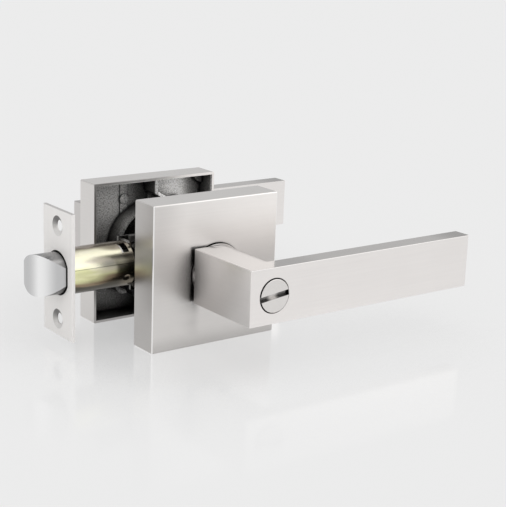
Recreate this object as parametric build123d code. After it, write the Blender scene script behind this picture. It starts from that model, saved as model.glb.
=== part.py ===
from build123d import *
import math
import os

# A privacy lever set for a thin interior door: two lever halves and a tubular latch.
# Millimetres. The origin is on the spindle's axis, halfway through the door.
# X runs towards the lever tips, Y from the outside of the door to the inside, Z up.

# Door
door_thickness = 35.0
backset = 60.3
edge_bore_radius = 12.7
edge_bore_gap = 0.2

# Clearances
running_gap = 0.06
press_gap = 0.02
axial_gap = 0.3
socket_gap = 0.05

# Roses
rose_side = 65.0
outside_rose_depth = 14.5
inside_rose_depth = 13.0
rose_wall = 1.2
rose_face = 2.5
rose_edge_round = 0.6
ring_wall = 2.0
ring_set_back = 0.8
rib_wall = 1.4
rib_set_back = 1.0
corner_gusset = 5.0
gusset_set_back = 8.0
pocket_rib_offset = 1.0
pocket_rib_bend = 25.3
core_pin_offset = 11.2
core_pin_height = 21.9
core_pin_radius = 2.3
core_pin_rise = 1.0
core_pad_width = 3.8
core_pad_rise = 0.5

# Levers
lever_height = 24.3
lever_length = 112.5
neck_flat_side = 12.45
neck_gap = 1.6
grip_reach = 42.0
grip_thickness = 8.6
lever_edge_round = 0.25
lever_tip_round = 1.0
shank_radius = 9.5

# Bearing of the shank in the rose
bush_wall = 3.3
bush_flange = 0.9
bush_flange_thickness = 1.0
bush_neck_gap = 0.3
bush_mouth_gap = 0.4
bush_mouth_depth = 1.0
washer_thickness = 0.8
circlip_thickness = 1.0
circlip_groove_depth = 1.0
circlip_opening = 40.0

# Return spring, its driver and the plate behind them
return_wire = 1.3
return_pitch = 1.8
return_leg_bend = 1.6
coil_room = 1.2
leg_gap = 0.1
driver_thickness = 2.0
driver_slot_depth = 2.6
plate_thickness = 1.2
plate_lip = 0.2
plate_seat = 0.8

# Spindle and set screws
spindle_side = 8.0
spindle_reach = 14.0
spindle_bore_radius = 2.3
set_screw_radius = 2.5
set_screw_in = 6.0
set_screw_below = 0.8
set_screw_key = 2.5
set_screw_key_depth = 2.0

# Emergency release and thumb turn
release_radius = 7.15
release_depth = 6.0
release_proud = 0.5
release_chamfer = 0.2
release_mouth = 0.15
release_gap = 0.4
release_slot_width = 2.4
release_slot_depth = 2.0
release_slot_tilt = 7.0
stem_radius = 4.0
bar_side = 3.0
bar_hold = 5.0
snap_ring_thickness = 0.8
snap_ring_in = 3.4
snap_ring_groove = 0.5
snap_ring_opening = 50.0
turn_grip_width = 4.4
turn_grip_height = 8.0
turn_grip_round = 0.8

# Through screws and the posts that take them
post_radius = 3.0
post_room = 0.6
post_seat = 7.0
post_short = 6.0
boss_wall = 1.4
screw_radius = 2.0
screw_hole_gap = 0.2
screw_head_radius = 3.8
screw_grip = 16.5
screw_cross_width = 1.2
screw_cross_depth = 1.4

# Latch faceplate
faceplate_width = 25.4
faceplate_height = 56.0
faceplate_thickness = 1.5
faceplate_edge_round = 0.35
faceplate_hole_spacing = 41.3
faceplate_hole_radius = 2.5
faceplate_sink_radius = 4.4
faceplate_sink_depth = 1.0

# Bolt
bolt_throw = 12.0
bolt_radius = 9.2
bolt_half_width = 8.3
bolt_hole_gap = 0.6
bolt_bevel_start = 0.5
bolt_bevel_bulge = 3.0
bolt_tip_land = 2.0
bolt_tip_round = 0.8

# Tube
tube_radius = 10.1
tube_wall = 0.7
tube_end_from_axis = 27.5
tube_slot_length = 3.6
tube_slot_width = 6.0
tube_slot_in = 3.4
tube_slot_turn = 29.0
tube_dimple_radius = 1.9
tube_dimple_depth = 0.45
tube_dimple_in = 4.0
tube_dimple_turn = 113.0
tube_seam_width = 0.3
tube_seam_depth = 0.35
tube_seam_turn = 75.0

# Carriage that pulls the bolt
lever_turn = 60.0
drawbar_half_width = 1.9
drawbar_half_height = 3.5
drawbar_hold = 4.0
drawbar_lap = 7.0
cheek_thickness = 2.4
cheek_half_height = 4.8
cheek_bar_width = 3.2
prong_edge = 0.7
pin_radius = 0.9
pin_eye_wall = 0.6
pin_gap = 0.1

# Bolt spring and its seat
bolt_wire = 0.9
bolt_coil_turns = 4.5
bolt_coil_room = 0.7
bolt_coil_spare = 0.8
seat_thickness = 1.2
seat_gap = 0.3

# Latch case and cam
case_plate = 1.3
case_gap = 0.4
case_tongue = 4.0
case_tongue_gap = 0.25
case_tail = 3.0
rivet_radius = 1.1
rivet_head_radius = 1.4
rivet_head = 0.7
rivet_in = 2.2
rivet_height = 8.8
cam_wall = 0.8
cam_shoulder = 0.7
cam_proud = 0.2
cam_arm_width = 3.0
cam_arm_past_pin = 0.8
cam_clearance = 0.5
prong_clearance = 1.2

# Radii of one half, worked out from the shank to the screw posts
half_door = door_thickness / 2
bush_bore = shank_radius + running_gap
bush_radius = bush_bore + bush_wall
flange_radius = bush_radius + bush_flange
coil_inner = flange_radius + coil_room
coil_radius = coil_inner + return_wire / 2
ring_inner = coil_inner + return_wire + coil_room
ring_outer = ring_inner + ring_wall
plate_radius = ring_inner + plate_seat
boss_radius = post_radius + boss_wall
post_offset = (ring_outer + post_radius + post_room) / math.sqrt(2)
post_places = [(post_offset, post_offset), (-post_offset, -post_offset)]

# Distances from the door's face, the same in both halves
plate_start = ring_set_back + plate_lip
plate_end = plate_start + plate_thickness
driver_start = plate_end + axial_gap
driver_end = driver_start + driver_thickness
leg_height = (driver_start + driver_end) / 2
shallow_floor = min(outside_rose_depth, inside_rose_depth) - rose_face
coil_height = shallow_floor - axial_gap - return_wire - leg_height
# Whole turns that fit, and three quarters of one more, so that the two legs stand a quarter turn apart
coil_turns = max(1, int(coil_height / return_pitch - 3 / 4)) + 3 / 4

# Spindle sockets and the privacy bar's bore
socket_side = spindle_side + 2 * socket_gap
socket_corner = socket_side / math.sqrt(2)
stem_bore = stem_radius + running_gap
release_bore = release_radius + release_gap

# Latch, worked out from the spindle to the bolt
tilt = math.radians(lever_turn / 2)
pin_height = bolt_throw / (2 * math.tan(tilt))
pin_x = -pin_height * math.tan(tilt) + (cam_arm_width / 2 + pin_radius + pin_gap) / math.cos(tilt)
pin_eye_radius = pin_radius + pin_eye_wall
journal_radius = socket_corner + cam_wall
shoulder_radius = journal_radius + cam_shoulder
prong_inner = shoulder_radius + prong_clearance
prong_outer = pin_height + prong_edge
arm_reach = pin_height / math.cos(tilt) + cam_arm_past_pin
cheek_outer = drawbar_half_width + cheek_thickness
case_inner = cheek_outer + case_gap
case_outer = case_inner + case_plate
case_half_height = math.sqrt((edge_bore_radius - edge_bore_gap) ** 2 - case_outer**2)
case_rivet_x = shoulder_radius + rivet_head_radius + cam_clearance
case_end = case_rivet_x + case_tail
tube_bore = tube_radius - tube_wall
tube_end = -tube_end_from_axis
tongue_end = tube_end - case_tongue
tongue_half_height = math.sqrt((tube_bore - case_tongue_gap) ** 2 - case_outer**2)
seat_start = tongue_end - seat_thickness
faceplate_front = -backset
faceplate_back = faceplate_front + faceplate_thickness
bolt_tip = faceplate_front - bolt_throw
bolt_coil_length = bolt_throw + bolt_coil_turns * bolt_wire + bolt_coil_spare
bolt_back = seat_start - bolt_coil_length
bolt_coil_radius = tube_bore - bolt_coil_room - bolt_wire / 2
drawbar_front = bolt_back - drawbar_hold
drawbar_end = -(arm_reach + cam_clearance + bolt_throw)
drawbar_rivet_x = drawbar_end - drawbar_lap / 2
cheek_start = drawbar_end - drawbar_lap
cheek_bar_end = -(shoulder_radius + cam_clearance + bolt_throw)


def outward(shape, start, end):
    """Raise a sketch drawn in X and Z between two distances from the door's outside face."""
    return extrude(Plane.XZ.offset(start) * shape, amount=end - start)


def across(shape, reach):
    """Raise a sketch drawn in X and Z to the same reach on both sides of mid-door."""
    return extrude(Plane.XZ * shape, amount=reach, both=True)


def along(shape, start, end):
    """Raise a sketch drawn in Y and Z between two places along X."""
    return extrude(Plane.YZ.offset(start) * shape, amount=end - start)


def bar(start, end, width):
    """A round-ended bar between two points of a sketch."""
    run = Vector(*end) - Vector(*start)
    angle = math.degrees(math.atan2(run.Y, run.X))
    middle = (Vector(*start) + Vector(*end)) * 0.5
    return Pos(middle.X, middle.Y) * SlotCenterToCenter(run.length, width, rotation=angle)


def wedge(radius, opening, direction):
    """A sector that cuts an opening, in degrees, out of a ring."""
    half = math.radians(opening / 2)
    aim = math.radians(direction)
    far = 2 * radius
    corners = [(far * math.cos(aim + turn), far * math.sin(aim + turn)) for turn in (-half, half)]
    return make_face(Polyline((0, 0), *corners, close=True))


def biarc(start, start_way, end, end_way):
    """Two arcs that leave the start and reach the end along the given ways."""
    chord = end - start
    both_ways = start_way + end_way
    turn = 2 * (1 - start_way.dot(end_way))
    along_chord = chord.dot(both_ways)
    reach = (math.sqrt(along_chord**2 + turn * chord.dot(chord)) - along_chord) / turn
    first_handle = start + start_way * reach
    last_handle = end - end_way * reach
    joint = (first_handle + last_handle) * 0.5
    joint_way = (last_handle - first_handle).normalized()
    return [TangentArc(start, joint, tangent=start_way), TangentArc(joint, end, tangent=joint_way)]


def coil_point(radius, pitch, turns):
    """A point of a coil round Z, its way along the coil and its way out from the axis."""
    angle = 2 * math.pi * turns
    out = Vector(math.cos(angle), math.sin(angle), 0)
    way = Vector(-math.sin(angle), math.cos(angle), pitch / (2 * math.pi * radius)).normalized()
    return out * radius + Vector(0, 0, pitch * turns), way, out


def coil_edges(radius, pitch, turns):
    """A coil round Z as tangent arcs, a quarter turn at a time."""
    steps = [coil_point(radius, pitch, quarter / 4) for quarter in range(round(turns * 4) + 1)]
    edges = []
    for (start, start_way, _), (end, end_way, _) in zip(steps, steps[1:]):
        edges += biarc(start, start_way, end, end_way)
    return edges


def wire_solid(name, edges, start, way, wire, turn_length):
    """Sweep a round wire along its path, and print its least gap to itself."""
    path = Wire(edges)
    samples = 480
    points = [path.position_at(step / samples) for step in range(samples + 1)]
    apart = math.ceil(samples * turn_length / 2 / path.length)
    pairs = [(first, last) for first in range(samples + 1) for last in range(first + apart, samples + 1)]
    gap = min((points[first] - points[last]).length for first, last in pairs) - wire
    print(name, "least gap to itself", round(gap, 2), "mm")
    return sweep(Plane(origin=start, z_dir=way) * Circle(wire / 2), path=path)


def make_rose(depth, is_outside):
    floor = depth - rose_face
    inner_half = rose_side / 2 - rose_wall
    shell = outward(Rectangle(rose_side, rose_side), 0, depth)
    outer_edges = shell.edges().filter_by(Axis.Y) + shell.faces().sort_by(Axis.Y)[0].edges()
    shell = fillet(outer_edges, rose_edge_round)
    cavity = outward(Rectangle(2 * inner_half, 2 * inner_half), 0, floor)
    ring = outward(Circle(ring_outer), ring_set_back, floor)
    bosses = Sketch()
    ribs = Sketch()
    pins = Sketch()
    pads = Sketch()
    gussets = Sketch()
    for turn in (1, -1):
        bend = (turn * pocket_rib_offset, turn * pocket_rib_bend)
        boss = (turn * post_offset, turn * post_offset)
        pin = (-turn * core_pin_offset, turn * core_pin_height)
        bosses += Pos(*boss) * Circle(boss_radius)
        ribs += bar((bend[0], turn * inner_half), bend, rib_wall)
        ribs += bar(bend, boss, rib_wall)
        pins += Pos(*pin) * Circle(core_pin_radius)
        pads += Pos(pin[0], turn * inner_half / 2) * Rectangle(core_pad_width, inner_half)
        for side in (1, -1):
            gussets += Pos(side * inner_half, turn * inner_half) * Circle(corner_gusset)
    walls = ring + outward(bosses, ring_set_back, floor) + outward(ribs, rib_set_back, floor)
    walls += outward(pins, floor - core_pin_rise, floor) + outward(pads, floor - core_pad_rise, floor)
    walls += outward(gussets, gusset_set_back, floor)
    rose = shell - cavity + (walls & cavity)
    rose -= outward(Circle(ring_inner), ring_set_back, floor)
    rose -= outward(Circle(plate_radius + press_gap), ring_set_back, plate_end)
    rose -= outward(Circle(bush_radius + press_gap), 0, depth)
    rose -= outward(Circle(bush_radius + bush_mouth_gap), depth - bush_mouth_depth, depth)
    rose -= spring_slot(ring_set_back, leg_height + return_pitch * coil_turns + return_wire / 2 + leg_gap)
    for place in post_places:
        spot = Pos(*place)
        if is_outside:
            rose -= outward(spot * Circle(post_radius + press_gap), 0, post_seat)
        else:
            rose -= outward(spot * Circle(screw_radius + screw_hole_gap), 0, depth)
            rose -= Pos(place[0], 0, place[1]) * countersunk_head(depth, screw_hole_gap)
    return rose


def countersunk_head(top, gap):
    """The cone of a countersunk head whose flat is at a distance from the door's face."""
    wide = screw_head_radius + gap
    narrow = screw_radius + gap
    base = top - (wide - narrow)
    return loft([Plane.XZ.offset(base) * Circle(narrow), Plane.XZ.offset(top) * Circle(wide)])


def spring_slot(start, end):
    """The slot through the ring wall that holds the spring's outer leg."""
    turn = 2 * math.pi * coil_turns
    way = Vector(-math.sin(turn), math.cos(turn))
    out = Vector(math.cos(turn), math.sin(turn))
    inner = out * coil_radius + way * return_leg_bend
    outer = inner + out * 2 * ring_wall + out * coil_room
    return outward(bar((inner.X, inner.Y), (outer.X, outer.Y), return_wire + 2 * leg_gap), start, end)


def make_bush(depth):
    floor = depth - rose_face
    collar = depth + neck_gap - bush_neck_gap
    barrel = outward(Circle(bush_radius), floor - bush_flange_thickness, collar)
    flange = outward(Circle(flange_radius), floor - bush_flange_thickness, floor)
    return barrel + flange - outward(Circle(bush_bore), 0, collar)


def washer_start(depth):
    return depth - rose_face - bush_flange_thickness - washer_thickness


def make_thrust_washer(depth):
    start = washer_start(depth)
    return outward(Circle(flange_radius) - Circle(bush_bore), start, start + washer_thickness)


def make_circlip(depth):
    end = washer_start(depth) - running_gap
    ring = Circle(flange_radius) - Circle(shank_radius - circlip_groove_depth + press_gap)
    return outward(ring - wedge(flange_radius, circlip_opening, -90), end - circlip_thickness, end)


def make_lever(depth):
    root = depth + neck_gap
    back = depth + grip_reach - grip_thickness
    front = depth + grip_reach
    half_height = lever_height / 2
    outline = Polyline(
        (-neck_flat_side, -root),
        (0, -root),
        (0, -back),
        (lever_length, -back),
        (lever_length, -front),
        (-neck_flat_side, -front),
        close=True,
    )
    lever = extrude(make_face(outline), amount=half_height, both=True)
    lever += outward(Circle(half_height), root, back)
    front_tip = lever.edges().filter_by(Axis.Z).group_by(Axis.X)[-1].sort_by(Axis.Y)[0]
    lever = fillet(front_tip, lever_tip_round)
    crisp = lever.edges().filter_by(Axis.X).group_by(Axis.Y)[0]
    crisp += lever.edges().filter_by(Axis.Z).group_by(Axis.X)[0].sort_by(Axis.Y)[:1]
    crisp += lever.edges().filter_by(Axis.Y).group_by(Axis.X)[0]
    lever = fillet(crisp, lever_edge_round)
    lever += outward(Circle(shank_radius), driver_end, root)

    groove_end = washer_start(depth) - running_gap + press_gap
    groove = Circle(shank_radius + press_gap) - Circle(shank_radius - circlip_groove_depth)
    lever -= outward(groove, groove_end - circlip_thickness - 2 * press_gap, groove_end)
    lever -= outward(Rectangle(socket_side, socket_side), driver_end, depth + spindle_reach)
    lever -= outward(Circle(stem_bore), depth + spindle_reach, front)
    lever -= outward(Circle(release_bore), front - release_depth, front)
    mouth_floor = Plane.XZ.offset(front - release_mouth) * Circle(release_bore)
    mouth_rim = Plane.XZ.offset(front) * Circle(release_bore + release_mouth)
    lever -= loft([mouth_floor, mouth_rim])
    ring_start = front - snap_ring_in - press_gap
    ring_end = front - snap_ring_in + snap_ring_thickness + press_gap
    lever -= outward(Circle(release_bore + snap_ring_groove), ring_start, ring_end)
    screw_hole = extrude(Circle(set_screw_radius + press_gap), amount=-lever_height)
    lever -= Pos(0, -(root + set_screw_in), 0) * screw_hole
    return lever


def make_set_screw(depth):
    top = -spindle_side / 2
    end = -lever_height / 2 + set_screw_below
    screw = extrude(Plane.XY.offset(end) * Circle(set_screw_radius), amount=top - end)
    hexagon = RegularPolygon(set_screw_key / 2, 6, major_radius=False)
    key = extrude(Plane.XY.offset(end) * hexagon, amount=set_screw_key_depth)
    return Pos(0, -(depth + neck_gap + set_screw_in), 0) * (screw - key)


def make_spring_driver():
    disc = Circle(flange_radius) - Rectangle(socket_side, socket_side)
    inner = (flange_radius - driver_slot_depth, -return_leg_bend)
    outer = (flange_radius + return_wire, -return_leg_bend)
    return outward(disc - bar(inner, outer, return_wire + 2 * leg_gap), driver_start, driver_end)


def make_return_spring(name):
    steps = coil_edges(coil_radius, return_pitch, coil_turns)
    start, start_way, start_out = coil_point(coil_radius, return_pitch, 0)
    end, end_way, end_out = coil_point(coil_radius, return_pitch, coil_turns)
    inner_bend = start - start_way * return_leg_bend - start_out * return_leg_bend
    inner_tip = inner_bend - start_out * (inner_bend.X - flange_radius + driver_slot_depth)
    outer_bend = end + end_way * return_leg_bend + end_out * return_leg_bend
    outer_tip = outer_bend + end_out * (coil_room + ring_wall - return_leg_bend)
    edges = [Line(inner_tip, inner_bend), TangentArc(inner_bend, start, tangent=start_out)]
    edges += steps
    edges += [TangentArc(end, outer_bend, tangent=end_way), Line(outer_bend, outer_tip)]
    turn_length = 2 * math.pi * coil_radius
    spring = wire_solid(name, edges, inner_tip, start_out, return_wire, turn_length)
    return Plane.XZ.offset(leg_height) * spring


def make_cassette_plate():
    return outward(Circle(plate_radius) - Circle(socket_corner + axial_gap), plate_start, plate_end)


def make_snap_ring(depth):
    start = depth + grip_reach - snap_ring_in
    inner = release_radius - snap_ring_groove + running_gap
    ring = Circle(release_bore + snap_ring_groove - running_gap) - Circle(inner)
    ring -= wedge(release_bore, snap_ring_opening, 90)
    return outward(ring, start, start + snap_ring_thickness)


def make_turn_body(depth):
    """The disc and stem that the release and the thumb turn have in common."""
    front = depth + grip_reach
    top = front + release_proud
    body = outward(Circle(release_radius), front - release_depth + axial_gap, top)
    body = chamfer(body.faces().sort_by(Axis.Y)[0].edges(), release_chamfer)
    body += outward(Circle(stem_radius), depth + spindle_reach + axial_gap, front - release_depth + axial_gap)
    ring_start = front - snap_ring_in - running_gap
    ring_end = front - snap_ring_in + snap_ring_thickness + running_gap
    groove = Circle(release_radius + press_gap) - Circle(release_radius - snap_ring_groove)
    body -= outward(groove, ring_start, ring_end)
    socket = Rectangle(bar_side + 2 * press_gap, bar_side + 2 * press_gap)
    return body - outward(socket, depth + spindle_reach, depth + spindle_reach + axial_gap + bar_hold)


def make_emergency_release(depth):
    top = depth + grip_reach + release_proud
    slot = Rot(0, 0, release_slot_tilt) * Rectangle(3 * release_radius, release_slot_width)
    return make_turn_body(depth) - outward(slot, top - release_slot_depth, top)


def make_thumb_turn(depth):
    top = depth + grip_reach + release_proud
    reach = 2 * (release_radius - release_chamfer)
    grip = outward(SlotOverall(reach, turn_grip_width), top, top + turn_grip_height)
    grip = fillet(grip.faces().sort_by(Axis.Y)[0].edges(), turn_grip_round)
    return make_turn_body(depth) + grip


def make_screw_posts():
    start = -(half_door - post_short)
    end = half_door + post_seat
    bore_end = start + screw_grip + axial_gap
    post = outward(Circle(post_radius), start, end)
    post -= outward(Circle(screw_radius + press_gap), start, bore_end)
    return [Pos(x, 0, z) * post for x, z in post_places]


def make_through_screws():
    head_top = half_door + inside_rose_depth
    tip = half_door - post_short - screw_grip
    shank_top = head_top - (screw_head_radius - screw_radius)
    screw = outward(Circle(screw_radius), tip, shank_top) + countersunk_head(head_top, 0)
    cross_long = screw_head_radius
    cross = Rectangle(cross_long, screw_cross_width) + Rectangle(screw_cross_width, cross_long)
    screw -= outward(cross, head_top - screw_cross_depth, head_top)
    return [mirror(Pos(x, 0, z) * screw, about=Plane.XZ) for x, z in post_places]


def make_spindle():
    square = Rectangle(spindle_side, spindle_side) - Circle(spindle_bore_radius)
    start = -(half_door + inside_rose_depth + spindle_reach)
    return outward(square, start, half_door + outside_rose_depth + spindle_reach)


def make_privacy_bar():
    hold = spindle_reach + axial_gap + bar_hold
    start = -(half_door + inside_rose_depth + hold)
    return outward(Rectangle(bar_side, bar_side), start, half_door + outside_rose_depth + hold)


def double_d(radius, half_width):
    return Circle(radius) & Rectangle(2 * half_width, 2 * radius)


def make_latch_faceplate():
    plate = along(Rectangle(faceplate_width, faceplate_height), faceplate_front, faceplate_back)
    plate = fillet(plate.faces().sort_by(Axis.X)[0].edges(), faceplate_edge_round)
    hole = double_d(bolt_radius + bolt_hole_gap, bolt_half_width + bolt_hole_gap)
    plate -= along(hole, faceplate_front, faceplate_back)
    for side in (1, -1):
        spot = Pos(0, side * faceplate_hole_spacing / 2)
        plate -= along(spot * Circle(faceplate_hole_radius), faceplate_front, faceplate_back)
        sink_floor = faceplate_front + faceplate_sink_depth
        wide = Plane.YZ.offset(faceplate_front) * spot * Circle(faceplate_sink_radius)
        narrow = Plane.YZ.offset(sink_floor) * spot * Circle(faceplate_hole_radius)
        plate -= loft([wide, narrow])
    return plate


def make_latch_tube():
    tube = along(Circle(tube_radius) - Circle(tube_bore), faceplate_back, tube_end)
    slot = Pos(tube_end - tube_slot_in, 0) * Rectangle(tube_slot_length, tube_slot_width)
    tube -= Rot(tube_slot_turn, 0, 0) * extrude(slot, amount=2 * tube_radius)
    ball_radius = (tube_dimple_radius**2 + tube_dimple_depth**2) / (2 * tube_dimple_depth)
    ball_height = tube_radius - tube_dimple_depth + ball_radius
    tube -= Rot(tube_dimple_turn, 0, 0) * Pos(tube_end - tube_dimple_in, 0, ball_height) * Sphere(ball_radius)
    middle = (faceplate_back + tube_end) / 2
    seam = Pos(middle, 0) * Rectangle(tube_end - faceplate_back, tube_seam_width)
    seam_floor = Plane.XY.offset(tube_radius - tube_seam_depth)
    return tube - Rot(tube_seam_turn, 0, 0) * extrude(seam_floor * seam, amount=tube_wall)


def make_latch_bolt():
    stock = along(double_d(bolt_radius, bolt_half_width), bolt_tip, bolt_back)
    near = (faceplate_front - bolt_bevel_start, -bolt_half_width)
    far = (bolt_tip, bolt_half_width - bolt_tip_land)
    chord = Vector(*far) - Vector(*near)
    bulge = Vector(chord.Y, -chord.X).normalized() * -bolt_bevel_bulge
    middle = (Vector(*near) + Vector(*far)) * 0.5 + bulge
    far_side = [(bolt_tip, bolt_half_width), (bolt_back, bolt_half_width)]
    sides = Polyline(far, *far_side, (bolt_back, -bolt_half_width), near)
    plan = make_face([ThreePointArc(near, (middle.X, middle.Y), far), *sides.edges()])
    bolt = stock & extrude(plan, amount=2 * bolt_radius, both=True)
    tip_edges = bolt.edges().filter_by(Axis.Z).group_by(Axis.X)[0]
    bolt = fillet(tip_edges, bolt_tip_round)
    pocket = Rectangle(2 * (drawbar_half_width + press_gap), 2 * (drawbar_half_height + press_gap))
    return bolt - along(pocket, drawbar_front, bolt_back)


def make_bolt_drawbar():
    bar_section = Rectangle(2 * drawbar_half_width, 2 * drawbar_half_height)
    drawbar = along(bar_section, drawbar_front, drawbar_end)
    return drawbar - across(Pos(drawbar_rivet_x, 0) * Circle(pin_radius + press_gap), drawbar_half_width)


def rectangle_between(low, high):
    middle = (Vector(*low) + Vector(*high)) * 0.5
    return Pos(middle.X, middle.Y) * Rectangle(high[0] - low[0], high[1] - low[1])


def make_retractor_cheeks():
    plan = rectangle_between((cheek_start, -cheek_half_height), (cheek_bar_end, cheek_half_height))
    bar_start = cheek_bar_end - cheek_bar_width
    plan += rectangle_between((bar_start, -prong_outer), (cheek_bar_end, prong_outer))
    holes = Pos(drawbar_rivet_x, 0) * Circle(pin_radius + press_gap)
    for side in (1, -1):
        prong_z = side * (prong_inner + prong_outer) / 2
        length = pin_x - bar_start
        plan += Pos(bar_start + length / 2, prong_z) * Rectangle(length, prong_outer - prong_inner)
        plan += Pos(pin_x, side * pin_height) * Circle(pin_eye_radius)
        holes += Pos(pin_x, side * pin_height) * Circle(pin_radius + press_gap)
    cheek = outward(plan - holes, drawbar_half_width, cheek_outer)
    return [cheek, mirror(cheek, about=Plane.XZ)]


def make_retractor_pins():
    places = [(drawbar_rivet_x, 0), (pin_x, pin_height), (pin_x, -pin_height)]
    return [across(Pos(*place) * Circle(pin_radius), cheek_outer) for place in places]


def make_bolt_spring():
    end_gap = bolt_wire / 2 + press_gap
    pitch = (bolt_coil_length - 2 * end_gap) / bolt_coil_turns
    edges = coil_edges(bolt_coil_radius, pitch, bolt_coil_turns)
    start, way, _ = coil_point(bolt_coil_radius, pitch, 0)
    spring = wire_solid("bolt_spring", edges, start, way, bolt_wire, 2 * math.pi * bolt_coil_radius)
    return Plane.YZ.offset(bolt_back + end_gap) * spring


def make_spring_seat():
    hole = Rectangle(2 * (cheek_outer + seat_gap), 2 * (cheek_half_height + seat_gap))
    return along(Circle(tube_bore - press_gap) - hole, seat_start, tongue_end)


def case_rivet_places():
    return [(case_rivet_x, 0), (tube_end + rivet_in, rivet_height), (tube_end + rivet_in, -rivet_height)]


def make_latch_case():
    plan = rectangle_between((tube_end, -case_half_height), (case_end, case_half_height))
    plan += rectangle_between((tongue_end, -tongue_half_height), (tube_end, tongue_half_height))
    plan -= Circle(journal_radius + running_gap)
    for place in case_rivet_places():
        plan -= Pos(*place) * Circle(rivet_radius + press_gap)
    return outward(plan, case_inner, case_outer)


def make_case_rivets():
    rivets = []
    for place in case_rivet_places():
        rivet = across(Pos(*place) * Circle(rivet_radius), case_outer + rivet_head)
        head = outward(Pos(*place) * Circle(rivet_head_radius), case_outer, case_outer + rivet_head)
        rivets.append(rivet + head + mirror(head, about=Plane.XZ))
    return rivets


def make_latch_cam():
    cam = across(Circle(journal_radius), case_outer + cam_proud)
    cam += across(Circle(shoulder_radius), case_inner - cam_proud)
    lean = -math.sin(tilt) * (arm_reach - cam_arm_width / 2)
    rise = math.cos(tilt) * (arm_reach - cam_arm_width / 2)
    for side in (1, -1):
        cam += across(bar((0, 0), (lean, side * rise), cam_arm_width), drawbar_half_width - case_gap)
    return cam - across(Rectangle(socket_side, socket_side), case_outer + cam_proud)


def save(name, pieces):
    """Write one node as a group of separate solids."""
    group = pieces if isinstance(pieces, list) else [pieces]
    solids = [solid for piece in group for solid in piece.solids()]
    export_step(Compound(children=solids) if len(solids) > 1 else solids[0], f"parts/{name}.step")


def save_half(side, depth):
    """Write the pieces of one half. The inside half is the outside half's mirror image."""

    def place(piece):
        moved = Pos(0, -half_door, 0) * piece
        return moved if side == "outside" else mirror(moved, about=Plane.XZ)

    is_outside = side == "outside"
    spring_name = f"{side}_return_spring"
    save(f"{side}_rose", place(make_rose(depth, is_outside)))
    save(f"{side}_bush", place(make_bush(depth)))
    save(f"{side}_lever", place(make_lever(depth)))
    save(f"{side}_thrust_washer", place(make_thrust_washer(depth)))
    save(f"{side}_circlip", place(make_circlip(depth)))
    save(f"{side}_spring_driver", place(make_spring_driver()))
    save(spring_name, place(make_return_spring(spring_name)))
    save(f"{side}_cassette_plate", place(make_cassette_plate()))
    save(f"{side}_set_screw", place(make_set_screw(depth)))
    turn = make_emergency_release(depth) if is_outside else make_thumb_turn(depth)
    save("emergency_release" if is_outside else "thumb_turn", place(turn))
    save("release_snap_ring" if is_outside else "turn_snap_ring", place(make_snap_ring(depth)))


def main():
    os.makedirs("parts", exist_ok=True)
    save_half("outside", outside_rose_depth)
    save_half("inside", inside_rose_depth)
    save("screw_posts", make_screw_posts())
    save("through_screws", make_through_screws())
    save("spindle", make_spindle())
    save("privacy_bar", make_privacy_bar())
    save("latch_faceplate", make_latch_faceplate())
    save("latch_tube", make_latch_tube())
    save("latch_bolt", make_latch_bolt())
    save("bolt_drawbar", make_bolt_drawbar())
    save("retractor_cheeks", make_retractor_cheeks())
    save("retractor_pins", make_retractor_pins())
    save("bolt_spring", make_bolt_spring())
    save("spring_seat", make_spring_seat())
    case = make_latch_case()
    save("latch_case_outside", case)
    save("latch_case_inside", mirror(case, about=Plane.XZ))
    save("case_rivets", make_case_rivets())
    save("latch_cam", make_latch_cam())


main()
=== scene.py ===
import bpy
import math
from mathutils import Matrix, Vector


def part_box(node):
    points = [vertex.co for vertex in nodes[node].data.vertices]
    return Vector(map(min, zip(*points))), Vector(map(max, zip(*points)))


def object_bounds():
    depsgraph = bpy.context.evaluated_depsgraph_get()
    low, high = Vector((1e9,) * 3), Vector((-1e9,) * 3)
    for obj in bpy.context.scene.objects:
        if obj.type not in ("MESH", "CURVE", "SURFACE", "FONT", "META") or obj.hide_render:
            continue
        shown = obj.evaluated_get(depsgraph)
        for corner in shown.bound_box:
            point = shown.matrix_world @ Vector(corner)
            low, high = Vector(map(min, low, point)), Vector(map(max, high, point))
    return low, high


# A privacy lever set in satin nickel, standing on its roses on a pale glossy floor.
# Metres, in the frame of the CAD model: X towards the lever tips, Y through the door, Z up.

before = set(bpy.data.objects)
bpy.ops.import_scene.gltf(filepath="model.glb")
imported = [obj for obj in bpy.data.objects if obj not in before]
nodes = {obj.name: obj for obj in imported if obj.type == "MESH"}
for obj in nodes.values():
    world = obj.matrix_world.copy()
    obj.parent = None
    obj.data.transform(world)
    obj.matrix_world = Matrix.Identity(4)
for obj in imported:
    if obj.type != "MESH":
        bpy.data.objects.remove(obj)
cad_low, cad_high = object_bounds()

# Camera, in the photograph's 506 by 507 frame
view_azimuth = -37.15
view_elevation = 14.88
view_roll = 2.10
view_distance = 0.5748
view_right = 0.0352
view_up = 0.0006
focal_pixels = 1261.7
image_pixels = 507
sensor_size = 36.0

# Light: a dim room with soft walls of light, each fading out between two angles from its middle
room_level = 0.60
left_wall = dict(way=(-0.998, -0.070, 0.0), full=8, gone=50, level=0.70)
right_wall = dict(way=(0.766, -0.643, 0.0), full=18, gone=73, level=0.38)
ceiling = dict(way=(0.300, -0.450, 0.841), full=22, gone=62, level=0.48)

# Floor: its gloss and glow go from one level near the object to another in the open; the stronger glow
# near the object is painted light over its shadow
floor_reach = 12.0
floor_colour = (0.97, 0.97, 0.97)
floor_roughness = 0.10
floor_gloss_near = 0.28
floor_gloss_open = 0.025
floor_glow_near = 0.96
floor_glow_open = 0.84
floor_glow_share = 0.72

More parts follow.
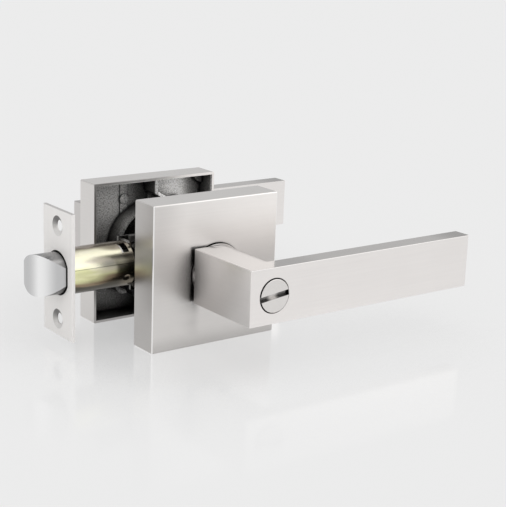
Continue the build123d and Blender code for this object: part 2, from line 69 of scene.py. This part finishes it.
# Boxes of the nodes whose finishes follow their shape
rose_low, rose_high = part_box("outside_rose")
inner_low, inner_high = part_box("inside_rose")
lever_low, lever_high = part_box("outside_lever")
release_low, release_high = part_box("emergency_release")
plate_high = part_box("latch_faceplate")[1]
tube_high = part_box("latch_tube")[1]

# Colours of the finishes
nickel_colour = (0.85, 0.825, 0.805)
lever_colour = (0.885, 0.855, 0.837)
plate_colour = (0.90, 0.88, 0.86)
cast_colour = (0.66, 0.65, 0.635)
# Painted reflection: the grey band on a rose's left side
reflection_band_colour = (0.36, 0.36, 0.40)
# Painted highlight and painted shade of the bolt
bolt_shine = (0.95, 0.95, 0.95)
bolt_shade = (0.61, 0.61, 0.615)
steel_colour = (0.50, 0.49, 0.47)
case_colour = (0.13, 0.127, 0.12)
# Tints of the tube, laid out round it as painted light and shade, and its pale patches
zinc_brown = (0.25, 0.215, 0.165)
zinc_straw = (0.91, 0.875, 0.675)
zinc_green = (0.78, 0.78, 0.45)
zinc_rose = (0.36, 0.28, 0.19)
zinc_shade = (0.11, 0.10, 0.08)
zinc_blush = (0.95, 0.86, 0.82)
black_colour = (0.03, 0.03, 0.032)

# How far a pattern swings each colour lighter and darker, and the share of clouds in the satin one
satin_swing = 0.016
cloud_share = 0.5
cast_swing = 0.42
steel_swing = 0.12
black_swing = 0.3

# Patterns, in lumps per metre, for all axes or for X, Y and Z
brushed_along_x = (30.0, 1200.0, 1200.0)
brushed_along_y = (1200.0, 40.0, 1200.0)
brushed_along_z = (1200.0, 1200.0, 40.0)
bolt_brushing = (60.0, 60.0, 2500.0)
satin_clouds = 40.0
cast_grain = 1500.0
zinc_drift = (35.0, 110.0, 110.0)
zinc_patches = (70.0, 260.0, 260.0)
zinc_drawing = (40.0, 700.0, 700.0)
steel_mottle = 500.0
oxide_mottle = 700.0
nylon_mottle = 900.0

# Depths of the patterns as bumps
brush_depth = 0.0000003
rose_brush_depth = 0.0000004
cast_depth = 0.00008
zinc_depth = 0.000002
steel_depth = 0.000008
oxide_depth = 0.000006
nylon_depth = 0.000008

# Roughness, as one number or as the two levels between which it goes
lever_roughness = (0.28, 0.10)
lever_wear = (-0.006, 0.006)
polished_roughness = (0.25, 0.27)
plate_roughness = (0.48, 0.50)
rose_side_roughness = (0.30, 0.07)
rose_face_roughness = 0.34
cast_roughness = 0.38
zinc_roughness = (0.20, 0.28)
steel_roughness = 0.34
case_roughness = 0.22
wire_roughness = 0.24
steel_wear = 0.06
oxide_roughness = (0.32, 0.48)
nylon_roughness = (0.38, 0.50)

# Metallic share, where it isn't full
plate_metallic = 0.15
cast_metallic = 0.6

# Gaps, where colours are darkened as painted shade: how far a surface looks for cover, the span of
# openness that counts, and the least light left. On the floor they set its gloss and glow instead
gap_samples = 8
floor_gaps = dict(reach=0.10, span=(0.74, 0.97), least=0.0)
lever_gaps = dict(reach=0.004, span=(0.2, 0.7), least=0.15)
slot_gaps = dict(reach=0.003, span=(0.5, 0.9), least=0.0)
neck_gaps = dict(reach=0.015, span=(0.5, 0.97), least=0.12)
bush_gaps = dict(reach=0.002, span=(0.4, 0.9), least=0.15)
pocket_gaps = dict(reach=0.025, span=(0.2, 0.65), least=0.08)
corner_gaps = dict(reach=0.002, span=(0.6, 0.95), least=0.3)
bolt_gaps = dict(reach=0.004, span=(0.4, 0.9), least=0.25)
tube_gaps = dict(reach=0.003, span=(0.2, 0.7), least=0.2)

# Ramps: a span is where a change starts and ends, and levels are what it goes from and to
rising = (0.0, 1.0)
falling = (1.0, 0.0)
pattern_span = (0.3, 0.7)

# Faces, as spans of their normal along an axis
level_faces = (0.6, 0.9)
front_faces = (0.5, 0.9)
end_faces = (0.6, 0.8)
left_faces = (-0.9, -0.6)
rounded_sides = (0.3, 0.7)
flat_sides = (0.75, 1.0)
bevel_faces = (0.15, 0.4)

# Lever: painted shade on its top from the neck to the tip, and painted light and shade on its ends from
# bottom to top
lever_root = (0.012, 0.028)
lever_root_levels = (0.64, 0.76)
lever_tip = (lever_high.x - 0.0225, lever_high.x - 0.0045)
lever_tip_level = 0.49
outside_lever_ends = (0.76, 1.04)
inside_lever_ends = (0.73, 0.73)

# Release: painted shade in its slot, by the distance from its middle
slot_aside = (0.0008, 0.0034)
slot_levels = (0.7, 0.12)
release_level = 0.92

# Faceplate: its rim, its flat front, and painted shade on the walls of its holes by how far they look up
# and on its upper edge
plate_rim = 0.0015
plate_front = (0.92, 0.99)
hole_turn = (-0.4, 0.5)
hole_levels = (0.2, 0.85)
plate_edge = (0.4, 0.8)
plate_edge_levels = (1.0, 0.6)

# Rose: its shell, painted light and shade on its outside by metres from the spindle, and a grey band of
# painted reflection on its left side
rose_wall = 0.0012
rose_face = 0.0025
edge_margin = 0.00005
neck_radius = (0.021, 0.031)
neck_across = (-0.013, -0.007)
neck_up = (0.009, 0.015)
bush_radius = (0.015, 0.016)
face_left = (-0.030, -0.014)
face_left_levels = (0.86, 1.06)
face_right = (-0.014, rose_high.x)
face_right_levels = (1.0, 1.10)
face_lower = (rose_low.x, 0.0)
face_lower_levels = (0.83, 0.79)
face_foot = (rose_low.z, -0.024)
face_foot_levels = (0.80, 1.0)
face_up = (-0.002, 0.022)
# Painted highlight on the bevels, and painted shade on the sides that look along X
bevel_highlight_level = 1.25
outside_rose_sides = 0.69
inside_rose_sides = 0.89
# Share and place of the grey band of painted reflection
outside_rose_reflection_band = 0.9
inside_rose_reflection_band = 0.0
reflection_band_start = (0.001, 0.008)
reflection_band_end = (0.012, 0.018)

# Rose: painted light and shade in its open back, across its two pockets, from low to high and by the ring,
# and a painted highlight on the rim
pocket_border = 0.002
left_pocket = (-0.016, -0.003)
left_pocket_levels = (1.6, 0.4)
right_pocket = (0.015, 0.026)
right_pocket_levels = (3.2, 0.8)
pocket_up = (-0.012, 0.006)
pocket_up_levels = (0.33, 1.0)
ring_radius = (0.0197, 0.0203)
ring_levels = (0.55, 1.0)
rim_depth = (0.0012, 0.0020)
rim_levels = (1.45, 0.0)
rim_up = (0.021, 0.023)

# Bolt: a painted highlight along its nose's bend, a painted glint on its round top and painted shade on
# its barrel, all by the normal
nose_start = (-1.0, -0.84)
nose_end = (-0.84, -0.45)
barrel_faces = (0.1, 0.2)
barrel_turn = (0.3, 0.6)
barrel_levels = (0.3, 0.62)
glint_start = (0.62, 0.74)
glint_end = (0.74, 0.86)

# Tube: tints in degrees from its top towards the outside, laid out as painted light and shade with a dark
# top and bottom, pale patches, and a darker inner end
tube_tints_and_shade = [((18, 38), zinc_straw), ((66, 82), zinc_green),
              ((90, 104), zinc_rose), ((104, 122), zinc_shade)]
tint_swing = (-0.24, 0.24)
blush_patches = (0.45, 0.65)
blush_levels = (0.0, 0.30)
blush_end = (80, 96)
dark_end = (tube_high.x - 0.008, tube_high.x - 0.003)
dark_end_levels = (0.0, 0.75)
dark_end_swing = (-0.002, 0.002)


class Nodes:
    """A node tree, with short calls to add and join nodes."""

    def __init__(self, tree, coordinate):
        self.tree = tree
        self.coordinates = self.node("ShaderNodeTexCoord").outputs
        self.place = self.coordinates[coordinate]

    def node(self, kind, **settings):
        made = self.tree.nodes.new(kind)
        for name, value in settings.items():
            setattr(made, name, value)
        return made

    def feed(self, socket, value):
        """Link a node's output to a socket, or write a plain value there."""
        if isinstance(value, bpy.types.NodeSocket):
            self.tree.links.new(value, socket)
        elif socket.type == "RGBA":
            socket.default_value = (*value, 1.0)
        else:
            socket.default_value = value

    def maths(self, operation, first, second=0.0):
        made = self.node("ShaderNodeMath", operation=operation)
        self.feed(made.inputs[0], first)
        self.feed(made.inputs[1], second)
        return made.outputs[0]

    def product(self, first, *others):
        """Values multiplied together."""
        total = first
        for other in others:
            total = self.maths("MULTIPLY", total, other)
        return total

    def away(self, value, place):
        """How far a value is from a place, either way."""
        return self.maths("ABSOLUTE", self.maths("SUBTRACT", value, place))

    def mix(self, share, first, second, kind="FLOAT"):
        made = self.node("ShaderNodeMix", data_type=kind)
        sockets = [socket for socket in made.inputs if socket.enabled]
        for socket, value in zip(sockets, (share, first, second)):
            self.feed(socket, value)
        return next(socket for socket in made.outputs if socket.enabled)

    def mix_colour(self, share, first, second):
        return self.mix(share, first, second, kind="RGBA")

    def blend(self, share, first, second):
        """A shader node that mixes two others."""
        made = self.node("ShaderNodeMixShader")
        self.feed(made.inputs[0], share)
        self.feed(made.inputs[1], first.outputs[0])
        self.feed(made.inputs[2], second.outputs[0])
        return made

    def stretch(self, scale):
        made = self.node("ShaderNodeMapping")
        self.feed(made.inputs["Vector"], self.place)
        self.feed(made.inputs["Scale"], scale)
        return made.outputs["Vector"]

    def noise(self, scale, detail=2.0):
        """Noise of a scale in lumps per metre, one number or one for each axis."""
        made = self.node("ShaderNodeTexNoise")
        lumps = scale if isinstance(scale, tuple) else (scale, scale, scale)
        self.feed(made.inputs["Vector"], self.stretch(lumps))
        self.feed(made.inputs["Scale"], 1.0)
        self.feed(made.inputs["Detail"], detail)
        return made.outputs["Fac"]

    def ramp(self, value, span, levels=rising):
        """Go smoothly from one level to the other while a value crosses a span."""
        made = self.node("ShaderNodeMapRange", interpolation_type="SMOOTHSTEP")
        names = ("Value", "From Min", "From Max", "To Min", "To Max")
        for name, number in zip(names, (value, *span, *levels)):
            self.feed(made.inputs[name], number)
        return made.outputs["Result"]

    def hump(self, value, start, end):
        """1 between two spans, and 0 before the first and after the second."""
        return self.product(self.ramp(value, start), self.ramp(value, end, falling))

    def axes(self, vector):
        made = self.node("ShaderNodeSeparateXYZ")
        self.feed(made.inputs[0], vector)
        return made.outputs[0], made.outputs[1], made.outputs[2]

    def facing(self, way):
        made = self.node("ShaderNodeVectorMath", operation="DOT_PRODUCT")
        self.feed(made.inputs[0], self.place)
        self.feed(made.inputs[1], way)
        return made.outputs["Value"]


class Finish(Nodes):
    """A material in the object's own coordinates."""

    def __init__(self, name):
        self.material = bpy.data.materials.new(name)
        self.material.use_nodes = True
        self.surface = self.material.node_tree.nodes["Principled BSDF"]
        super().__init__(self.material.node_tree, "Object")
        self.x, self.y, self.z = self.axes(self.place)
        self.normal = self.axes(self.coordinates["Normal"])

    def look(self, axis):
        """How squarely the surface looks along an axis, either way."""
        return self.maths("ABSOLUTE", self.normal[axis])

    def from_axis(self):
        """Distance from the spindle's axis."""
        squares = self.maths("ADD", self.product(self.x, self.x), self.product(self.z, self.z))
        return self.maths("SQRT", squares)

    def openness(self, reach, span, least):
        """How open the surface is to the room within a reach: 1 on open faces, least in gaps."""
        made = self.node("ShaderNodeAmbientOcclusion", samples=gap_samples)
        self.feed(made.inputs["Distance"], reach)
        return self.ramp(made.outputs["AO"], span, (least, 1.0))

    def dim(self, colour, share):
        """A colour scaled by a share."""
        made = self.node("ShaderNodeVectorMath", operation="SCALE")
        self.feed(made.inputs[0], colour)
        self.feed(made.inputs["Scale"], share)
        return made.outputs[0]

    def bump(self, height, depth):
        made = self.node("ShaderNodeBump")
        self.feed(made.inputs["Strength"], 1.0)
        self.feed(made.inputs["Distance"], depth)
        self.feed(made.inputs["Height"], height)
        self.feed(self.surface.inputs["Normal"], made.outputs["Normal"])

    def cover(self, colour, roughness, metallic=1.0):
        self.feed(self.surface.inputs["Base Color"], colour)
        self.feed(self.surface.inputs["Roughness"], roughness)
        self.feed(self.surface.inputs["Metallic"], metallic)


def tinted(finish, colour, pattern, swing):
    """A colour that gets lighter and darker by a share along a pattern."""
    dark = tuple(part * (1 - swing) for part in colour)
    light = tuple(min(1.0, part * (1 + swing)) for part in colour)
    return finish.mix_colour(finish.ramp(pattern, pattern_span), dark, light)


def brushing(finish):
    """Fine brushing: along X, but along Y on the faces that look along X."""
    lengthwise = finish.noise(brushed_along_x, detail=3.0)
    crosswise = finish.noise(brushed_along_y, detail=3.0)
    return finish.mix(finish.ramp(finish.look(0), end_faces), lengthwise, crosswise)


def satin_colour(finish, streak, colour=nickel_colour, side_faces=rounded_sides, side_level=1.0):
    """A plated colour with faint brushing and clouds, and a level of painted shade on the faces along X.
    """
    pattern = finish.mix(cloud_share, streak, finish.noise(satin_clouds))
    # Painted shade on the faces along X
    side = finish.ramp(finish.look(0), side_faces, (1.0, side_level))
    return finish.dim(tinted(finish, colour, pattern, satin_swing), side)


def nickel(name, end_levels):
    """Satin nickel, brushed on its broad faces and smoother on those that look up or down, with painted
    shade in its gaps and on its top, and painted light and shade on its ends.
    """
    finish = Finish(name)
    streak = brushing(finish)
    # Painted shade on the top from the neck to the tip, and painted light and shade on the ends from
    # bottom to top
    root = finish.ramp(finish.x, lever_root, lever_root_levels)
    top = finish.ramp(finish.x, lever_tip, (root, lever_tip_level))
    ends = finish.ramp(finish.z, (lever_low.z, lever_high.z), end_levels)
    colour = satin_colour(finish, streak, lever_colour, side_level=ends)
    # Painted shade in gaps and on the top
    shade = finish.product(finish.openness(**lever_gaps),
                           finish.ramp(finish.look(2), level_faces, (1.0, top)))
    wear = finish.ramp(streak, pattern_span, lever_wear)
    roughness = finish.maths("ADD", finish.ramp(finish.look(2), level_faces, lever_roughness), wear)
    finish.cover(finish.dim(colour, shade), roughness)
    finish.bump(streak, brush_depth)
    return finish.material


def release_nickel(name):
    """Satin nickel with painted shade in its slot, dark at both ends and lighter between."""
    finish = Finish(name)
    streak = brushing(finish)
    middle = (release_low + release_high) / 2
    # Painted shade in the slot, dark at both ends, and in gaps
    slot = finish.ramp(finish.away(finish.x, middle.x), slot_aside, slot_levels)
    shade = finish.mix(finish.openness(**slot_gaps), slot, release_level)
    finish.cover(finish.dim(satin_colour(finish, streak), shade),
                 finish.ramp(streak, pattern_span, polished_roughness))
    finish.bump(streak, brush_depth)
    return finish.material


def plate_nickel(name):
    """The faceplate's nickel, brushed upright, with painted shade in its holes and on its upper edge."""
    finish = Finish(name)
    streak = finish.noise(brushed_along_z, detail=3.0)
    upward = finish.normal[2]
    within_y = finish.maths("LESS_THAN", finish.maths("ABSOLUTE", finish.y), plate_high.y - plate_rim)
    within_z = finish.maths("LESS_THAN", finish.maths("ABSOLUTE", finish.z), plate_high.z - plate_rim)
    front = finish.ramp(finish.look(0), plate_front)
    # Painted shade on the walls of the holes and on the upper edge
    hole = finish.mix(front, finish.ramp(upward, hole_turn, hole_levels), 1.0)
    edge = finish.ramp(upward, plate_edge, plate_edge_levels)
    shade = finish.mix(finish.product(within_y, within_z), edge, hole)
    finish.cover(finish.dim(satin_colour(finish, streak, plate_colour), shade),
                 finish.ramp(streak, pattern_span, plate_roughness), plate_metallic)
    finish.bump(streak, brush_depth)
    return finish.material


def rose_back(finish, face_y):
    """1 in a rose's open back, and 0 on its outside."""
    reach = finish.maths("MAXIMUM", finish.maths("ABSOLUTE", finish.x), finish.maths("ABSOLUTE", finish.z))
    within = finish.maths("LESS_THAN", reach, rose_high.x - rose_wall + edge_margin)
    behind = finish.maths("GREATER_THAN", finish.away(finish.y, face_y), rose_face - edge_margin)
    return finish.product(within, behind)


def neck_shade(finish, from_axis):
    """Painted shade beside the neck on a rose's face, and a painted dark line round the bush."""
    by_neck = finish.product(finish.ramp(from_axis, neck_radius, falling),
                             finish.ramp(finish.x, neck_across, falling),
                             finish.ramp(finish.z, neck_up, falling))
    by_bush = finish.ramp(from_axis, bush_radius, falling)
    return finish.product(finish.mix(by_neck, 1.0, finish.openness(**neck_gaps)),
                          finish.mix(by_bush, 1.0, finish.openness(**bush_gaps)))


def face_shade(finish):
    """Painted light and shade that change slowly over a rose's face."""
    upper = finish.product(finish.ramp(finish.x, face_left, face_left_levels),
                           finish.ramp(finish.x, face_right, face_right_levels))
    lower = finish.product(finish.ramp(finish.x, face_lower, face_lower_levels),
                           finish.ramp(finish.z, face_foot, face_foot_levels))
    return finish.mix(finish.ramp(finish.z, face_up), lower, upper)


def rose_satin(finish, streak, face, from_axis, side_level, reflection_band_share):
    """Brushed nickel with painted shade, painted highlights on its bevels, and a grey band of painted
    reflection on the side that looks left.
    """
    shade = finish.product(neck_shade(finish, from_axis), finish.mix(face, 1.0, face_shade(finish)))
    # Painted highlight on the bevels
    bevel = finish.product(finish.ramp(finish.look(0), bevel_faces),
                           finish.ramp(finish.look(1), bevel_faces))
    colour = satin_colour(finish, streak, side_faces=flat_sides, side_level=side_level)
    satin = finish.dim(colour, finish.mix(bevel, shade, bevel_highlight_level))
    # A grey band of painted reflection on the side that looks left
    left = finish.ramp(finish.normal[0], left_faces, falling)
    reflection_band = finish.product(finish.hump(finish.z, reflection_band_start, reflection_band_end), left, reflection_band_share)
    return finish.mix_colour(reflection_band, satin, reflection_band_colour)


def rose_cast(finish, grain, from_axis, mouth_y):
    """Rough die casting, with painted light and shade across its pockets and a painted highlight on the
    upper part of its rim.
    """
    # Painted light and shade across the pockets, in gaps, from low to high and by the ring
    pockets = finish.mix(finish.maths("GREATER_THAN", finish.x, pocket_border),
                         finish.ramp(finish.x, left_pocket, left_pocket_levels),
                         finish.ramp(finish.x, right_pocket, right_pocket_levels))
    hollow = finish.product(pockets, finish.openness(**pocket_gaps), finish.openness(**corner_gaps),
                            finish.ramp(finish.z, pocket_up, pocket_up_levels),
                            finish.ramp(from_axis, ring_radius, ring_levels))
    # Painted highlight on the upper part of the rim
    rim = finish.product(finish.ramp(finish.away(finish.y, mouth_y), rim_depth, rim_levels),
                         finish.ramp(finish.z, rim_up))
    return finish.dim(tinted(finish, cast_colour, grain, cast_swing), finish.maths("MAXIMUM", hollow, rim))


def rose_metal(name, face_y, mouth_y, side_level, reflection_band_share):
    """Outside, brushed nickel with polished sides and painted light and shade. In the open back, rough die
    casting with painted light and shade.
    """
    finish = Finish(name)
    from_axis = finish.from_axis()
    inside = rose_back(finish, face_y)
    streak = brushing(finish)
    grain = finish.noise(cast_grain, detail=3.0)
    face = finish.ramp(finish.look(1), front_faces)
    satin = rose_satin(finish, streak, face, from_axis, side_level, reflection_band_share)
    cast = rose_cast(finish, grain, from_axis, mouth_y)
    side_roughness = finish.ramp(finish.look(2), level_faces, rose_side_roughness)
    satin_roughness = finish.mix(face, side_roughness, rose_face_roughness)
    finish.cover(finish.mix_colour(inside, satin, cast),
                 finish.mix(inside, satin_roughness, cast_roughness),
                 finish.mix(inside, 1.0, cast_metallic))
    brushed = finish.product(streak, rose_brush_depth / cast_depth)
    finish.bump(finish.mix(inside, brushed, grain), cast_depth)
    return finish.material


def chrome(name):
    """Satin chrome, with a painted highlight along the bend of the bolt's nose, a painted glint on its
    top, and painted shade on its barrel and in gaps.
    """
    finish = Finish(name)
    streak = finish.noise(bolt_brushing, detail=3.0)
    ahead = finish.normal[0]
    upward = finish.normal[2]
    # Painted highlight along the nose's bend, on a base of painted shade
    colour = finish.mix_colour(finish.hump(ahead, nose_start, nose_end), bolt_shade, bolt_shine)
    # Painted shade on the barrel, with a painted glint on its round top, and painted shade in gaps
    barrel = finish.ramp(finish.look(0), barrel_faces, falling)
    glint = finish.hump(upward, glint_start, glint_end)
    rounded = finish.mix(glint, finish.ramp(upward, barrel_turn, barrel_levels), 1.0)
    shade = finish.product(finish.mix(barrel, 1.0, rounded), finish.openness(**bolt_gaps))
    finish.cover(finish.dim(colour, shade), finish.ramp(streak, pattern_span, polished_roughness))
    finish.bump(streak, brush_depth)
    return finish.material


def in_radians(span):
    start, end = span
    return math.radians(start), math.radians(end)


def yellow_zinc(name):
    """Passivated zinc, whose tint runs round the tube from brown through straw and green to brown, laid
    out as painted light and shade, with painted shade in its gaps.
    """
    finish = Finish(name)
    drift = finish.noise(zinc_drift)
    round_tube = finish.maths("ARCTAN2", finish.product(finish.y, -1.0), finish.z)
    angle = finish.maths("ADD", round_tube, finish.ramp(drift, pattern_span, tint_swing))
    # Tints round the tube, placed as painted light and shade: a dark top, a bright straw band and a dark
    # bottom
    colour = zinc_brown
    for span, tint in tube_tints_and_shade:
        colour = finish.mix_colour(finish.ramp(angle, in_radians(span)), colour, tint)
    patches = finish.ramp(finish.noise(zinc_patches, detail=1.0), blush_patches, blush_levels)
    blush = finish.product(patches, finish.ramp(angle, in_radians(blush_end), falling))
    colour = finish.mix_colour(blush, colour, zinc_blush)
    along = finish.maths("ADD", finish.x, finish.ramp(drift, pattern_span, dark_end_swing))
    # Darker brown towards the tube's inner end
    colour = finish.mix_colour(finish.ramp(along, dark_end, dark_end_levels), colour, zinc_brown)
    # Painted shade in gaps
    finish.cover(finish.dim(colour, finish.openness(**tube_gaps)),
                 finish.ramp(drift, pattern_span, zinc_roughness))
    finish.bump(finish.noise(zinc_drawing), zinc_depth)
    return finish.material


def steel(name, colour=steel_colour, roughness=steel_roughness):
    finish = Finish(name)
    mottle = finish.noise(steel_mottle, detail=4.0)
    finish.cover(tinted(finish, colour, mottle, steel_swing),
                 finish.ramp(mottle, pattern_span, (roughness - steel_wear, roughness + steel_wear)))
    finish.bump(mottle, steel_depth)
    return finish.material


def black_oxide(name):
    finish = Finish(name)
    mottle = finish.noise(oxide_mottle, detail=3.0)
    finish.cover(tinted(finish, black_colour, mottle, black_swing),
                 finish.ramp(mottle, pattern_span, oxide_roughness))
    finish.bump(mottle, oxide_depth)
    return finish.material


def nylon(name):
    finish = Finish(name)
    mottle = finish.noise(nylon_mottle, detail=3.0)
    finish.cover(tinted(finish, black_colour, mottle, black_swing),
                 finish.ramp(mottle, pattern_span, nylon_roughness), metallic=0.0)
    finish.bump(mottle, nylon_depth)
    return finish.material


def both(*names):
    """The outside and the inside node of each name."""
    return [f"{side}_{name}" for name in names for side in ("outside", "inside")]


def dress(material, *names):
    for name in names:
        mesh = nodes[name].data
        mesh.materials.clear()
        mesh.materials.append(material)


def dress_all():
    dress(rose_metal("outside_rose_metal", rose_low.y, rose_high.y, outside_rose_sides, outside_rose_reflection_band),
          "outside_rose")
    dress(rose_metal("inside_rose_metal", inner_high.y, inner_low.y, inside_rose_sides, inside_rose_reflection_band),
          "inside_rose")
    dress(nickel("outside_nickel", outside_lever_ends), "outside_lever", "outside_bush")
    dress(nickel("inside_nickel", inside_lever_ends), "inside_lever", "inside_bush", "thumb_turn")
    dress(release_nickel("release_nickel"), "emergency_release")
    dress(plate_nickel("plate_nickel"), "latch_faceplate")
    dress(chrome("bolt_chrome"), "latch_bolt")
    dress(yellow_zinc("tube_zinc"), "latch_tube")
    dress(steel("plain_steel"), "spindle", "privacy_bar", "bolt_drawbar", "retractor_cheeks",
          "retractor_pins", "spring_seat", "case_rivets", "latch_cam")
    dress(steel("dark_steel", case_colour, case_roughness), "latch_case_outside", "latch_case_inside",
          *both("cassette_plate", "spring_driver"))
    dress(steel("spring_wire", roughness=wire_roughness), "bolt_spring", *both("return_spring"))
    dress(black_oxide("black_oxide"), "release_snap_ring", "turn_snap_ring", "screw_posts",
          "through_screws", *both("circlip", "set_screw"))
    dress(nylon("dark_nylon"), *both("thrust_washer"))


def floor_finish():
    """A pale floor with gloss near the object, and a glow that only the eye and reflections see, stronger
    near the object as painted light over its shadow.
    """
    finish = Finish("pale_floor")
    open_share = finish.openness(**floor_gaps)
    matt = finish.node("ShaderNodeBsdfDiffuse")
    finish.feed(matt.inputs["Color"], floor_colour)
    gloss = finish.node("ShaderNodeBsdfGlossy")
    finish.feed(gloss.inputs["Roughness"], floor_roughness)
    glow = finish.node("ShaderNodeEmission")
    # A stronger glow near the object: painted light over its shadow
    finish.feed(glow.inputs["Strength"], finish.mix(open_share, floor_glow_near, floor_glow_open))
    rays = finish.node("ShaderNodeLightPath").outputs
    seen = finish.maths("MAXIMUM", rays["Is Camera Ray"], rays["Is Glossy Ray"])
    seen = finish.maths("MAXIMUM", seen, rays["Is Transmission Ray"])
    surface = finish.blend(finish.product(seen, floor_glow_share), matt, glow)
    surface = finish.blend(finish.mix(open_share, floor_gloss_near, floor_gloss_open), surface, gloss)
    finish.feed(finish.tree.nodes["Material Output"].inputs["Surface"], surface.outputs[0])
    return finish.material


def make_floor():
    mesh = bpy.data.meshes.new("floor")
    corners = [(-1, -1), (1, -1), (1, 1), (-1, 1)]
    points = [(x * floor_reach, y * floor_reach, cad_low.z) for x, y in corners]
    mesh.from_pydata(points, [], [(0, 1, 2, 3)])
    mesh.materials.append(floor_finish())
    floor = bpy.data.objects.new("floor", mesh)
    bpy.context.scene.collection.objects.link(floor)


def make_light():
    world = bpy.data.worlds.new("room")
    bpy.context.scene.world = world
    world.use_nodes = True
    room = Nodes(world.node_tree, "Generated")
    total = room_level
    for wall in (left_wall, right_wall, ceiling):
        edge = math.cos(math.radians(wall["gone"]))
        middle = math.cos(math.radians(wall["full"]))
        light = room.ramp(room.facing(wall["way"]), (edge, middle), (0.0, wall["level"]))
        total = room.maths("ADD", total, light)
    background = room.tree.nodes["Background"]
    room.feed(background.inputs["Color"], (1.0, 1.0, 1.0))
    room.feed(background.inputs["Strength"], total)


def make_camera():
    azimuth = math.radians(view_azimuth)
    elevation = math.radians(view_elevation)
    roll = math.radians(view_roll)
    back = Vector((math.sin(azimuth) * math.cos(elevation),
                   -math.cos(azimuth) * math.cos(elevation),
                   math.sin(elevation)))
    level_right = Vector((0, 0, 1)).cross(back).normalized()
    level_up = back.cross(level_right)
    right = level_right * math.cos(roll) + level_up * math.sin(roll)
    up = level_up * math.cos(roll) - level_right * math.sin(roll)
    data = bpy.data.cameras.new("camera")
    data.sensor_width = sensor_size
    data.lens = focal_pixels / image_pixels * sensor_size
    camera = bpy.data.objects.new("camera", data)
    turn = Matrix((right, up, back)).transposed()
    place = back * view_distance + right * view_right + up * view_up
    camera.matrix_world = Matrix.Translation(place) @ turn.to_4x4()
    bpy.context.scene.collection.objects.link(camera)
    bpy.context.scene.camera = camera


dress_all()
make_floor()
make_light()
make_camera()
bpy.context.scene.view_settings.view_transform = "Standard"
